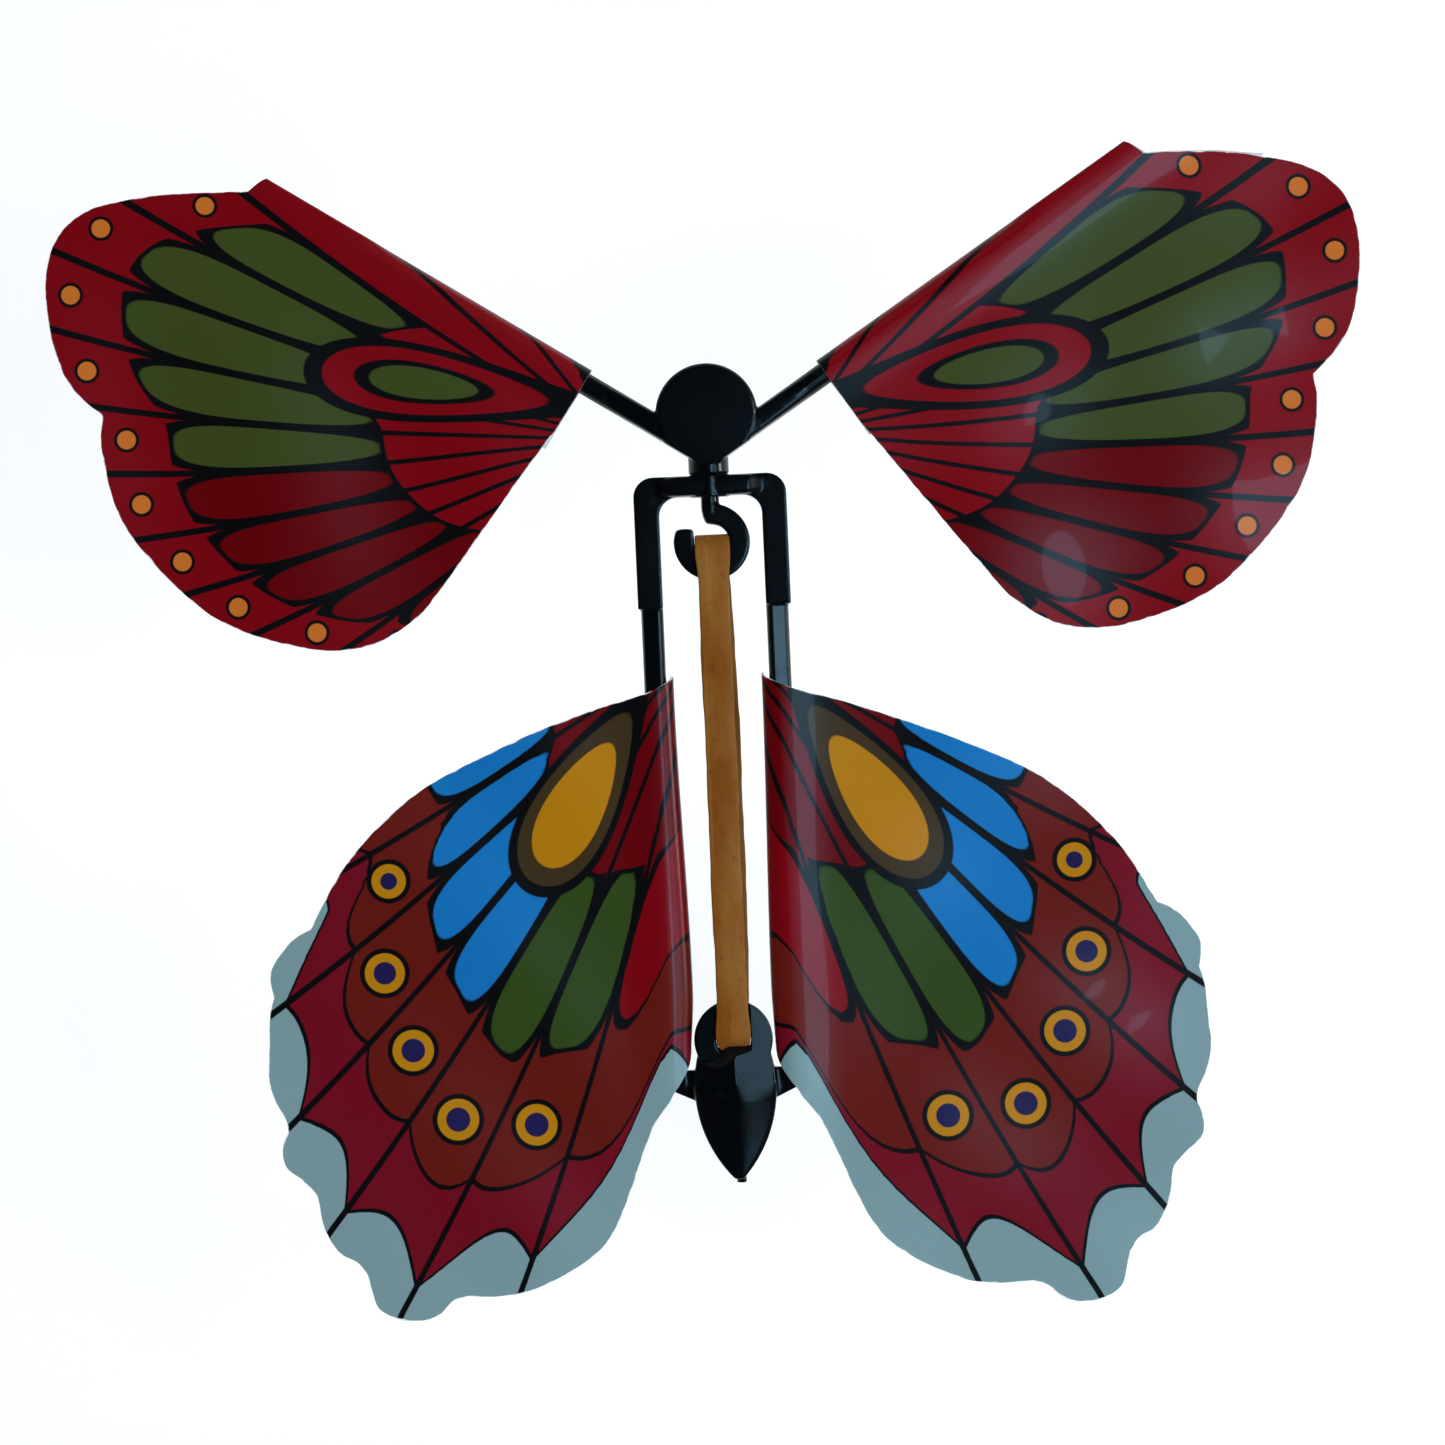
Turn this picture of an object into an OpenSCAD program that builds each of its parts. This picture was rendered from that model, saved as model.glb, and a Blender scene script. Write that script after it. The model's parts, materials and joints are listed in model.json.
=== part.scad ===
// Wind-up flying butterfly: a rubber band between a fixed tail hook and a winding hook spins the head and
// the forewings. It lies on its back: X across the wings, Y along the spin axis to the head, Z up.

/* [Head and arms] */
// Diameter of the head disc
head_d = 9.3; // [7.5:0.1:11]
// Width of the bevel round the head's rim
head_bevel = 0.3; // [0.2:0.1:1.2]
// Distance from the head's centre down to where the arms' axes cross
arm_drop = 3.8; // [3:0.1:4.4]
// Rise of each arm, in degrees
arm_angle = 33; // [28:0.5:38]
// Diameter of an arm
arm_d = 2.05; // [1.5:0.05:2.5]
// Length of an arm from where the axes cross
arm_l = 34; // [28:0.5:40]
// Diameter of the neck
neck_d = 3.7; // [3:0.1:4.6]
// Length of neck that shows below the head disc
neck_l = 0.7; // [0.4:0.1:2]

/* [Winding hook] */
// Diameter of the shaft
shaft_d = 1.7; // [1.3:0.1:2.2]
// Depth of shaft pressed into the neck
shaft_seat = 2.6; // [1.5:0.1:4]
// Length of shaft between the bearing and the hook
shaft_free = 0.6; // [0.3:0.1:2]
// Outer diameter of the winding hook
hook_d = 7; // [6.2:0.1:7.8]
// Diameter of the winding hook's eye
hook_eye_d = 3.2; // [3.1:0.1:4]
// Height of the blunt tip above the hook's centre
hook_tip = 1.3; // [0.4:0.1:1.4]
// Thickness of both hooks, back to front
hook_t = 1.6; // [1.2:0.1:2.2]

/* [Yoke and bearing] */
// Outer width of the yoke
yoke_w = 14; // [13:0.1:16]
// Thickness of the yoke, back to front
yoke_t = 2.1; // [1.6:0.1:2.8]
// Length of the yoke, from its top to the shoulders on the legs
yoke_l = 12; // [8:0.5:16]
// Width of the yoke's top bar
bar_w = 1.9; // [1.4:0.1:2.1]
// Width of the yoke's sides
side_w = 2.3; // [2.05:0.05:2.6]
// Outer corner radius of the yoke
yoke_outer_r = 1.8; // [1:0.1:3]
// Inner corner radius of the yoke
yoke_inner_r = 1.7; // [0.8:0.1:2.5]
// Diameter of the bearing boss
boss_d = 3.6; // [2.8:0.1:4.2]
// Length of the bearing boss
boss_l = 2.1; // [2.1:0.1:3]
// Running clearance round the shaft
bearing_gap = 0.05; // [0.02:0.01:0.1]
// End play between the neck and the boss
end_gap = 0.1; // [0.1:0.05:0.5]

/* [Legs and tail] */
// Distance from the top of the boss to the tail hook's centre
frame_l = 51.7; // [49:0.1:56]
// Diameter of a leg below its shoulder
leg_d = 2.05; // [1.6:0.05:2.3]
// Width of the flat on the front of a leg, below its shoulder
leg_flat = 1.4; // [0.8:0.1:1.5]
// Outward tilt of that flat, in degrees
leg_flat_tilt = 8; // [0:1:20]
// Outer diameter of the tail hook
tail_hook_d = 7.2; // [6.6:0.1:7.8]
// Diameter of the tail hook's eye
tail_eye_d = 3.2; // [3.1:0.1:4]
// Width of the tail
tail_w = 7.5; // [6.6:0.1:8.2]
// Distance from the tail hook's centre to the tail's tip
tail_l = 13.2; // [11:0.1:16]
// Distance from the tail hook's centre to the tail's widest line
tail_shoulder = 4.4; // [4:0.1:5.4]
// Height of the tail's side walls above the table
tail_wall = 2.6; // [2.2:0.1:3]
// Height of the keel above the table at the tail's tip
tail_tip = 2.4; // [1.6:0.1:3.2]
// Length of the blunt stub on the tail's tip, where the plastic ran into the mould
stub_l = 0.4; // [0.3:0.1:0.8]
// Diameter of that stub
stub_d = 0.9; // [0.6:0.1:1.2]
// Step from the tail's side in to the hook's stem
stem_step = 0.36; // [0.2:0.02:0.5]
// Slope on the upper edge of the shelf in front of the tail hook
shelf_slope = 0.9; // [0.4:0.1:1.1]
// Radius of the round recess that frees the tail hook's tip from the shelf
recess_r = 1.4; // [1:0.1:1.6]
// Distances of that recess to the left of the tail hook's centre, and below it
recess_left = 2.3; // [2:0.1:2.6]
recess_drop = 0.5; // [0.2:0.1:0.8]
// Gap between the band's lower bend and the shelf
shelf_gap = 0.12; // [0.1:0.02:0.4]
// Gap through which the band slips onto the tail hook
tail_mouth = 0.7; // [0.6:0.1:1.2]
// Distance from the tail hook's centre down to the ears that carry the legs
ear_drop = 2.7; // [2.4:0.1:3]
// Width of an ear at its leg
ear_w = 1.4; // [1:0.1:2]
// Thickness of an ear, behind the spin axis
ear_t = 1.2; // [0.8:0.1:1.6]

/* [Rubber band] */
// Width of the band
band_w = 2.95; // [2:0.05:3]
// Thickness of the band
band_t = 0.9; // [0.5:0.05:1.2]
// Clearance between the band and the sides of the hooks
band_gap = 0.12; // [0.1:0.02:0.3]
// Room between the band's bends and the hooks' bars
band_slack = 0.4; // [0.2:0.05:0.8]
// Room between the table and the lowest of the band and the neck
rest_gap = 0.15; // [0.1:0.05:0.6]

/* [Film wings] */
// Thickness of the printed film
film_t = 0.25; // [0.15:0.05:0.4]
// Clearance round the rod inside a sleeve
sleeve_gap = 0.1; // [0.05:0.01:0.2]
// Distance of the folded flap's edge from the rod's axis
flap_w = 7; // [5:0.1:9]
// Width of the adhesive strip under the flap
tape_w = 2.6; // [1.5:0.1:4]
// Thickness of the adhesive strip
tape_t = 0.1; // [0.05:0.01:0.2]
// Distance of the adhesive strip's ends from the ends of its sleeve
tape_inset = 1; // [0.5:0.1:2]
// Distance of a hind wing's adhesive strip from the wing's top
tape_top = 4; // [3.5:0.1:8]
// Length of sleeve past the arm's end, and again from there to the flat fold
sleeve_past = 1; // [0.5:0.1:2]
// Distance from the arms' crossing to the forewing sleeve's mouth
fore_start = 13.6; // [11:0.1:18]
// Length of a forewing along its arm
fore_l = 47.4; // [42:0.1:54]
// Depth of a forewing below its arm
fore_w = 36.3; // [30:0.1:38]
// Gap along the axis between the forewings' sweep and the hind wings
wing_gap = 4; // [2:0.1:6]
// Reach of a hind wing from its leg
hind_w = 37.3; // [32:0.1:42]
// Length of a hind wing along the body
hind_l = 58; // [52:0.5:62]
// Gap between a hind wing's sleeve and the ear below it
ear_gap = 0.5; // [0.3:0.1:1]

/* [Hidden] */

$fn = 48;
// Steps on each rounded corner, and on each span of a wing's outline
corner_steps = 8;
span_steps = 5;
// A cut reaches this far past what it cuts
over = 1;

// Outer outline of a forewing in hundredths: how far along the arm, how far below it
fore_tip_along = 71.3;
fore_tip_span = [[72.8, 0.6], [77.5, 4.7], [85.5, 11.8], [91.8, 18.6], [98, 27.5], [100.2, 37],
                 [98.2, 47.3], [92.5, 58], [87, 64.8], [82, 68.3], [75.3, 70]];
fore_trailing_span = [[75.3, 70], [71.2, 79], [59.5, 92], [38, 99.4], [20, 95], [9.3, 86.8], [4.1, 76],
                      [2.1, 64], [-1, 15]];

// Outer outline of a hind wing in hundredths: how far out from the leg, how far down from the wing's top
hind_leading_span = [[-4, -0.5], [3, 1.2], [17, 4], [40, 9.7], [61.6, 16.6], [78, 26.5], [87.8, 36.8]];
hind_scallops = [
    [[87.8, 36.8], [92.5, 38.4], [97.3, 42.2], [98.2, 44.6], [97.5, 47.4]],
    [[97.5, 47.4], [98.7, 50], [99.3, 56], [99.6, 60], [98.2, 63.8], [95.9, 66.6], [95.5, 68.6]],
    [[95.5, 68.6], [96.9, 70.8], [96.3, 74], [92.5, 76.2], [89.2, 78.6], [88.4, 81.5]],
    [[88.4, 81.5], [87.2, 84.6], [84, 88], [80, 89.5], [77.6, 91.5]],
    [[77.6, 91.5], [76.5, 94.2], [75, 97], [70.5, 98.8], [65, 99.2], [60.5, 98.4], [57, 96.4], [53.5, 95.6]]];
hind_trailing_span = [[53.5, 95.6], [45, 95.8], [36, 94.8], [24, 90.9], [17, 86.6], [11.8, 79.8],
                      [9.2, 75.4], [5.2, 69.4], [1.5, 66], [-1, 64.3], [-7, 59.3]];

// The sheet merges this deep with its sleeve, the flap leaves the sleeve at this angle round the rod,
// and a forewing's mouth stands this far in from its start
film_bite = 0.08 * film_t;
flap_leave = 50;
mouth_trim = 0.4 * film_t;

// Height of the spin axis: the head and the tail are thick enough to keep band and neck off the table
band_r = hook_t / 2 + band_gap + band_t;
axis_z = max(band_r, neck_d / 2, boss_d / 2) + rest_gap;
body_t = 2 * axis_z;

// Places along the spin axis, from the head's centre down
neck_end = -head_d / 2 - neck_l;
boss_top = neck_end - end_gap;
boss_end = boss_top - boss_l;
bar_top = boss_top - (boss_l - bar_w) / 2;
hook_y = boss_end - shaft_free - hook_d / 2;
tail_hook_y = boss_top - frame_l;
ear_top = tail_hook_y - ear_drop;
tail_top = ear_top - tail_mouth / 2;
tail_tip_y = tail_hook_y - tail_l;
shoulder_y = bar_top - yoke_l;
band_top = hook_y - hook_eye_d / 2 + band_slack;
band_end = tail_hook_y + tail_eye_d / 2 - band_slack;
shelf_y = band_end - sqrt(pow(band_r, 2) - pow(hook_t / 2, 2)) - shelf_gap;
window_w = yoke_w / 2 - side_w;
leg_x = window_w + leg_d / 2;

// Catmull-Rom point between b and c, with its neighbours a and d
function blend_point(a, b, c, d, t) =
    b + t / 2 * ((c - a) + t * ((2 * a - 5 * b + 4 * c - d) + t * (3 * b - 3 * c + d - a)));

// Points along a smooth span from its first control point up to, but not including, its last
function span(p) = [
    for (i = [0 : len(p) - 2], k = [0 : span_steps - 1])
        blend_point(p[max(i - 1, 0)], p[i], p[i + 1], p[min(i + 2, len(p) - 1)], k / span_steps)];

function arc(centre, r, from, to) = [
    for (k = [0 : corner_steps])
        let (a = from + (to - from) * k / corner_steps) centre + r * [cos(a), sin(a)]];

// A ring section's outer radius, for a film sleeve on a rod
function sleeve_r(rod_d) = rod_d / 2 + sleeve_gap + film_t;

// Wing outlines in the rod's frame: x along the rod, y away from the film, so the film lies at negative y
fore_corner = [fore_tip_along * fore_l / 100, sleeve_r(arm_d)];
fore_edge = concat(
    span(concat([fore_corner], [for (p = fore_tip_span) fore_size(p)])),
    span([for (p = fore_trailing_span) fore_size(p)]),
    [fore_size(fore_trailing_span[len(fore_trailing_span) - 1])]);
function fore_size(p) = [p.x * fore_l, -p.y * fore_w] / 100;

hind_edge = concat(
    span([for (p = hind_leading_span) hind_size(p)]),
    [for (s = hind_scallops) each span([for (p = s) hind_size(p)])],
    span([for (p = hind_trailing_span) hind_size(p)]),
    [hind_size(hind_trailing_span[len(hind_trailing_span) - 1])]);
function hind_size(p) = [-p.y * hind_l, -p.x * hind_w] / 100;

// Highest and lowest points of the wings give the part's middle, which is its origin
function fore_height(p) = -arm_drop + (p.x + fore_start) * sin(arm_angle) + p.y * cos(arm_angle);
fore_top = max([for (p = fore_edge) fore_height(p)]);
fore_end = min([for (p = fore_edge) fore_height(p)]);
hind_top = fore_end - wing_gap;
hind_end = hind_top + min([for (p = hind_edge) p.x]);
middle_y = (fore_top + hind_end) / 2;

// Moves a sub-part from the head's centre to the part's origin, at the height of the spin axis
module place() {
    translate([0, -middle_y, axis_z]) children();
}

module on_left() {
    mirror([1, 0, 0]) children();
}

// Extrudes a section drawn in Y and Z along X
module along_x(from, to) {
    translate([from, 0, 0]) rotate([90, 0, 90]) linear_extrude(to - from) children();
}

// Cylinder along the spin axis, from one place on it down to another
module axis_rod(d, from, to) {
    translate([0, from, 0]) rotate([90, 0, 0]) cylinder(h = from - to, d = d);
}

module flat(t, middle = 0) {
    translate([0, 0, middle - t / 2]) linear_extrude(t) children();
}

module head_disc() {
    r = head_d / 2;
    rotate_extrude()
        polygon([[0, -axis_z], [r - head_bevel, -axis_z], [r, head_bevel - axis_z],
                 [r, axis_z - head_bevel], [r - head_bevel, axis_z], [0, axis_z]]);
}

// What lies above the arms' lower edges, which run straight on to the neck
module above_arms() {
    low = arm_drop + arm_d / 2 / cos(arm_angle);
    side = head_d;
    rise = side * tan(arm_angle) - low;
    flat(body_t + over) polygon([[0, -low], [side, rise], [side, side], [-side, side], [-side, rise]]);
}

module arm() {
    translate([0, -arm_drop, 0]) rotate([0, 0, arm_angle]) rotate([0, 90, 0]) cylinder(h = arm_l, d = arm_d);
}

module head() {
    color("black") place() difference() {
        union() {
            intersection() {
                head_disc();
                above_arms();
            }
            axis_rod(neck_d, 0, neck_end);
            arm();
            on_left() arm();
        }
        axis_rod(shaft_d, neck_end + shaft_seat, neck_end - over);
    }
}

// Ring of a hook in the wings' plane, with one corner cut away from it
module hook_ring(d, eye_d, cut) {
    flat(hook_t) difference() {
        circle(d = d);
        circle(d = eye_d);
        polygon(cut);
    }
}

module winding_hook() {
    r = hook_d / 2;
    bar = (hook_d - hook_eye_d) / 2;
    color("black") place() {
        axis_rod(shaft_d, neck_end + shaft_seat, hook_y + r - bar / 2);
        translate([0, hook_y, 0])
            hook_ring(hook_d, hook_eye_d,
                      [[-r - over, hook_tip], [-r - over, r + over], [-shaft_d / 2, r + over],
                       [-shaft_d / 2, r - bar / 2], [0, 0], [-hook_eye_d / 2, 0],
                       [-hook_eye_d / 2, hook_tip]]);
    }
}

module yoke() {
    w = yoke_w / 2;
    bar_end = bar_top - bar_w;
    flat(yoke_t) polygon(concat(
        [[-w, shoulder_y]],
        arc([-w + yoke_outer_r, bar_top - yoke_outer_r], yoke_outer_r, 180, 90),
        arc([w - yoke_outer_r, bar_top - yoke_outer_r], yoke_outer_r, 90, 0),
        [[w, shoulder_y], [window_w, shoulder_y]],
        arc([window_w - yoke_inner_r, bar_end - yoke_inner_r], yoke_inner_r, 0, 90),
        arc([yoke_inner_r - window_w, bar_end - yoke_inner_r], yoke_inner_r, 90, 180),
        [[-window_w, shoulder_y]]));
}

// Leg and ear of the right side; the ear lies behind the spin axis, so the film can pass in front of it
module leg() {
    edge = leg_x + leg_d / 2;
    flat_z = sqrt(pow(leg_d, 2) - pow(leg_flat, 2)) / 2;
    flat_end = hind_top - over;
    translate([leg_x, 0, 0]) difference() {
        axis_rod(leg_d, shoulder_y + over, ear_top - ear_w);
        translate([0, flat_end, 0]) rotate([0, leg_flat_tilt, 0]) translate([-leg_d, 0, flat_z])
            cube([2 * leg_d, shoulder_y - flat_end, leg_d]);
    }
    flat(ear_t, -ear_t / 2)
        polygon([[0, ear_top], [edge, ear_top], [edge, ear_top - ear_w],
                 [tail_w / 2, ear_top - 2 * ear_w], [0, ear_top - 2 * ear_w]]);
}

// Long roof with its ridge along Y through the origin
module roof() {
    w = tail_w / 2 + over;
    translate([0, -2 * tail_l, 0]) rotate([90, 0, 180]) linear_extrude(4 * tail_l)
        polygon([[-w, -2 * body_t], [w, -2 * body_t], [w, tail_wall - body_t],
                 [0, 0], [-w, tail_wall - body_t]]);
}

// Bud-shaped tail: a pointed arch in plan with a blunt stub, and a keel along the front that falls to the
// tip. A sloped shelf rises in front of the tail hook up to the band's lower bend, with a recess for the
// hook's tip, the hook's right side rises to the same roof, and a back plate closes the mouth from behind
module tail_bud() {
    w = tail_w / 2;
    arch_y = tail_hook_y - tail_shoulder;
    arch_h = tail_l - tail_shoulder;
    arch_r = (arch_h * arch_h + w * w) / (2 * w);
    blunt_y = tail_tip_y + stub_l;
    mouth_z = hook_t / 2 + band_gap;
    back_y = band_end - band_r - shelf_gap;
    side_x = band_w / 2 + band_gap;
    depth = axis_z - hook_t / 2;
    difference() {
        intersection() {
            union() {
                intersection() {
                    flat(body_t) intersection() {
                        translate([arch_r - w, arch_y]) circle(r = arch_r);
                        translate([w - arch_r, arch_y]) circle(r = arch_r);
                    }
                    along_x(-tail_w, tail_w) {
                        polygon([[blunt_y, -axis_z], [tail_top, -axis_z],
                                 [tail_top, axis_z], [blunt_y, axis_z]]);
                        polygon([[arch_y, hook_t / 2], [shelf_y, hook_t / 2],
                                 [shelf_y, axis_z - shelf_slope],
                                 [shelf_y - shelf_slope, axis_z], [arch_y, axis_z]]);
                        polygon([[arch_y, -axis_z], [back_y, -axis_z],
                                 [back_y, -mouth_z], [arch_y, -mouth_z]]);
                    }
                }
                translate([0, tail_hook_y, 0]) linear_extrude(axis_z) difference() {
                    circle(d = tail_hook_d);
                    circle(d = tail_eye_d);
                    translate([side_x - tail_hook_d, -tail_hook_d]) square([tail_hook_d, 2 * tail_hook_d]);
                }
            }
            translate([0, arch_y, axis_z]) intersection() {
                roof();
                rotate([atan((body_t - tail_tip) / arch_h), 0, 0]) roof();
            }
        }
        translate([-recess_left, tail_hook_y - recess_drop, hook_t / 2])
            cylinder(h = depth, r1 = recess_r, r2 = recess_r + depth);
    }
    translate([stub_d / 4, 0, tail_tip / 2 - axis_z]) axis_rod(stub_d, blunt_y + over, tail_tip_y);
}

// Lower hook, open to the left just above the tail, with a stem down its right side
module tail_hook() {
    r = tail_hook_d / 2;
    eye_r = tail_eye_d / 2;
    stem_x = tail_w / 2 - stem_step;
    tip = tail_top - tail_hook_y + tail_mouth;
    translate([0, tail_hook_y, 0]) {
        hook_ring(tail_hook_d, tail_eye_d,
                  [[-r - over, tip], [0, tip], [0, -r - over], [-r - over, -r - over]]);
        flat(hook_t) difference() {
            translate([0, tail_top - tail_hook_y - over]) square([stem_x, tail_hook_y - tail_top + over]);
            circle(r = eye_r);
        }
    }
}

module frame() {
    color("black") place() difference() {
        union() {
            yoke();
            axis_rod(boss_d, boss_top, boss_end);
            leg();
            on_left() leg();
            tail_bud();
            tail_hook();
        }
        axis_rod(shaft_d + 2 * bearing_gap, boss_top + over, boss_end - over);
    }
}

// Flat loop round the bars of both hooks, one strand in front and one behind
module rubber_band() {
    color("peru") place() along_x(-band_w / 2, band_w / 2) difference() {
        band_loop(band_r);
        band_loop(band_r - band_t);
    }
}

module band_loop(r) {
    polygon(concat(arc([band_top, 0], r, -90, 90), arc([band_end, 0], r, 90, 270)));
}

// Heights of the film over a rod's axis: the sheet merges with the crown of its sleeve, the flap closes it
function sheet_z(rod_d) = rod_d / 2 + sleeve_gap - film_bite;
function land_z(rod_d) = sheet_z(rod_d) - tape_t - film_t;
function land_y() = tape_w + film_t - flap_w;

// Section across a rod: the sleeve round it and the flap that runs back to the sheet
module sleeve_section(rod_d) {
    r = sleeve_r(rod_d);
    leave = [-cos(flap_leave), -sin(flap_leave)] * (r - film_t / 2);
    land = land_z(rod_d);
    circle(r = r);
    polygon([leave - [0, film_t / 2], [land_y(), land], [-flap_w, land], [-flap_w, land + film_t],
             [land_y(), land + film_t], leave + [0, film_t / 2]]);
}

// Film cut to its outline, folded round a rod of diameter rod_d from one place along it to another
module film(edge, rod_d, from, to) {
    lowest = min([for (p = edge) p.y]) - over;
    first = min([for (p = edge) p.x]) - over;
    last = max([for (p = edge) p.x]) + over;
    tall = 2 * sleeve_r(rod_d) + over;
    difference() {
        intersection() {
            union() {
                along_x(from, to) sleeve_section(rod_d);
                translate([first, lowest, sheet_z(rod_d)]) cube([last - first, -lowest, film_t]);
                children();
            }
            flat(tall) polygon(edge);
        }
        along_x(first, to) circle(r = rod_d / 2 + sleeve_gap);
    }
}

// Adhesive strip between a flap's land and the sheet
module tape(rod_d, from, to) {
    along_x(from, to) translate([film_t / 2 - flap_w, sheet_z(rod_d) - tape_t]) square([tape_w, tape_t]);
}

// Frame of the right arm, x outward from the sleeve's mouth
module on_arm() {
    place() translate([0, -arm_drop, 0]) rotate([0, 0, arm_angle]) translate([fore_start, 0, 0]) children();
}

// Frame of the right leg, x towards the head from the hind wing's top
module on_leg() {
    place() translate([leg_x, hind_top, 0]) rotate([0, 0, 90]) children();
}

// Beyond the arm's end the fold lies flat, the flap straight on the back of the sheet
arm_left = arm_l - fore_start;
module flat_fold() {
    fold = sleeve_r(arm_d);
    sheet = sheet_z(arm_d);
    translate([arm_left, 0, sheet]) cube([fore_l, fold, film_t]);
    translate([arm_left + 2 * sleeve_past, -flap_w, sheet - film_t]) cube([fore_l, flap_w + fold, film_t]);
}

module forewing() {
    margin = sleeve_r(arm_d) + over;
    outline = concat([[-mouth_trim, margin], [fore_corner.x - over, margin]], fore_edge);
    film(outline, arm_d, -over, arm_left + sleeve_past) flat_fold();
}

hind_sleeve_end = ear_top + ear_gap - hind_top;
module hindwing() {
    film(hind_edge, leg_d, hind_sleeve_end, over);
}

module forewing_tape() {
    tape(arm_d, tape_inset, arm_left);
}

module hindwing_tape() {
    tape(leg_d, hind_sleeve_end + tape_inset, -tape_top);
}

module right_forewing() { color("firebrick") on_arm() forewing(); }
module left_forewing() { color("firebrick") on_left() on_arm() forewing(); }
module right_hindwing() { color("indianred") on_leg() hindwing(); }
module left_hindwing() { color("indianred") on_left() on_leg() hindwing(); }
module right_forewing_tape() { color("beige") on_arm() forewing_tape(); }
module left_forewing_tape() { color("beige") on_left() on_arm() forewing_tape(); }
module right_hindwing_tape() { color("beige") on_leg() hindwing_tape(); }
module left_hindwing_tape() { color("beige") on_left() on_leg() hindwing_tape(); }

frame();
head();
winding_hook();
rubber_band();
left_forewing();
right_forewing();
left_hindwing();
right_hindwing();
left_forewing_tape();
right_forewing_tape();
left_hindwing_tape();
right_hindwing_tape();
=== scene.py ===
# %% [markdown]
# # A wind-up flying butterfly
#
# The real toy is three small black mouldings, a flat rubber band and four printed film wings.
# The packed model already holds every piece at its real size and place, so this lesson only dresses it:
# soft moulded edges, film that is cut flat and then folded round its rod, a printed pattern, and a rubber
# band. Lengths are in millimetres, and MM turns them into Blender's metres.

# %% Load the packed model
import json
import math

import bmesh
import bpy
import numpy as np
from mathutils import Matrix, Vector


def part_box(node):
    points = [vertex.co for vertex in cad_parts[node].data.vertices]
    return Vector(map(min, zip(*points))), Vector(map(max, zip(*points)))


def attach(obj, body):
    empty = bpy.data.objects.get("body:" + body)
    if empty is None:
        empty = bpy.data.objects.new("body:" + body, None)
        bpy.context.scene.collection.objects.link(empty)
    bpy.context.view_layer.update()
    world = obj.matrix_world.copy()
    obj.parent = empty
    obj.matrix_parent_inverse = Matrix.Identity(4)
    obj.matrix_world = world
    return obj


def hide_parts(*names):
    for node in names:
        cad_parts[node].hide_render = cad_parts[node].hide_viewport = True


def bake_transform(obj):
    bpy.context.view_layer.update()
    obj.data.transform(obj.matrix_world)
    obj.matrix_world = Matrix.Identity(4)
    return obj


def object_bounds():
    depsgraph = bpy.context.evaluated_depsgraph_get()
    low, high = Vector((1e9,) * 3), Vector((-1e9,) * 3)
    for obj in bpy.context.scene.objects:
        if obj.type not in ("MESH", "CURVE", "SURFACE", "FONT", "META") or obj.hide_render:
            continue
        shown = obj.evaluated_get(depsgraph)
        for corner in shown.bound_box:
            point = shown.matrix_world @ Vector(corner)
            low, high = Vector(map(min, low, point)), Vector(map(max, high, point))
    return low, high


MM = 0.001
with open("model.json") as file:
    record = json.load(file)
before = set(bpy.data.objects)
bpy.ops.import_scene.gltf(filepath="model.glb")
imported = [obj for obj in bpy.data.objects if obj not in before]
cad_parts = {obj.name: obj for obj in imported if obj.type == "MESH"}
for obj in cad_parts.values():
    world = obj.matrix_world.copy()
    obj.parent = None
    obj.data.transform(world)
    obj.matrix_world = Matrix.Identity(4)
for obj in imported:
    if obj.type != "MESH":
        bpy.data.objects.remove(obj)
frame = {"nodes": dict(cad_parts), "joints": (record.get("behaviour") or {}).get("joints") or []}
cad_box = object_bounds()
joints = {joint["name"]: joint for joint in frame["joints"]}
print("CAD size in mm:", [round(side / MM, 2) for side in cad_box[1] - cad_box[0]])

# %% [markdown]
# ## The camera
#
# The toy was photographed from straight above, turned a little in the picture. The distance between two
# known points gives the scale, and the place of the toy's middle in the picture gives the camera's place.
# A long lens keeps the flat wings free of perspective.

# %% Camera
PHOTO_SIDE = 1445
MM_PER_PIXEL = 0.0912
MIDDLE_PIXEL = Vector((720.3, 737))
ROLL = math.radians(2.5)
LENS = 180
NEAREST = 10


def in_scene(name, data):
    made = bpy.data.objects.new(name, data)
    bpy.context.scene.collection.objects.link(made)
    return made


camera = in_scene("camera", bpy.data.cameras.new("camera"))
bpy.context.scene.camera = camera
camera.data.lens = LENS
camera.data.clip_start = NEAREST * MM
seen_width = PHOTO_SIDE * MM_PER_PIXEL * MM
aim = (Vector((PHOTO_SIDE, PHOTO_SIDE)) / 2 - MIDDLE_PIXEL) * MM_PER_PIXEL * MM
turn = Matrix.Rotation(-ROLL, 3, "Z")
height = cad_box[1].z + seen_width * LENS / camera.data.sensor_width
camera.location = turn @ Vector((aim.x, -aim.y, 0)) + Vector((0, 0, height))
camera.rotation_euler = (0, 0, -ROLL)
print("camera height in mm:", round(height / MM))

# %% [markdown]
# ## Shading written as Python
#
# Blender's materials are graphs of nodes. Wiring a long formula by hand is slow to write and slow to read,
# so one small class wraps a node's output: an operator on it adds a Math node, and `node` adds any other.

# %% A wire of a material
def operator(operation, **options):
    return lambda wire, *others: wire.math(operation, *others, **options)


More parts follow.
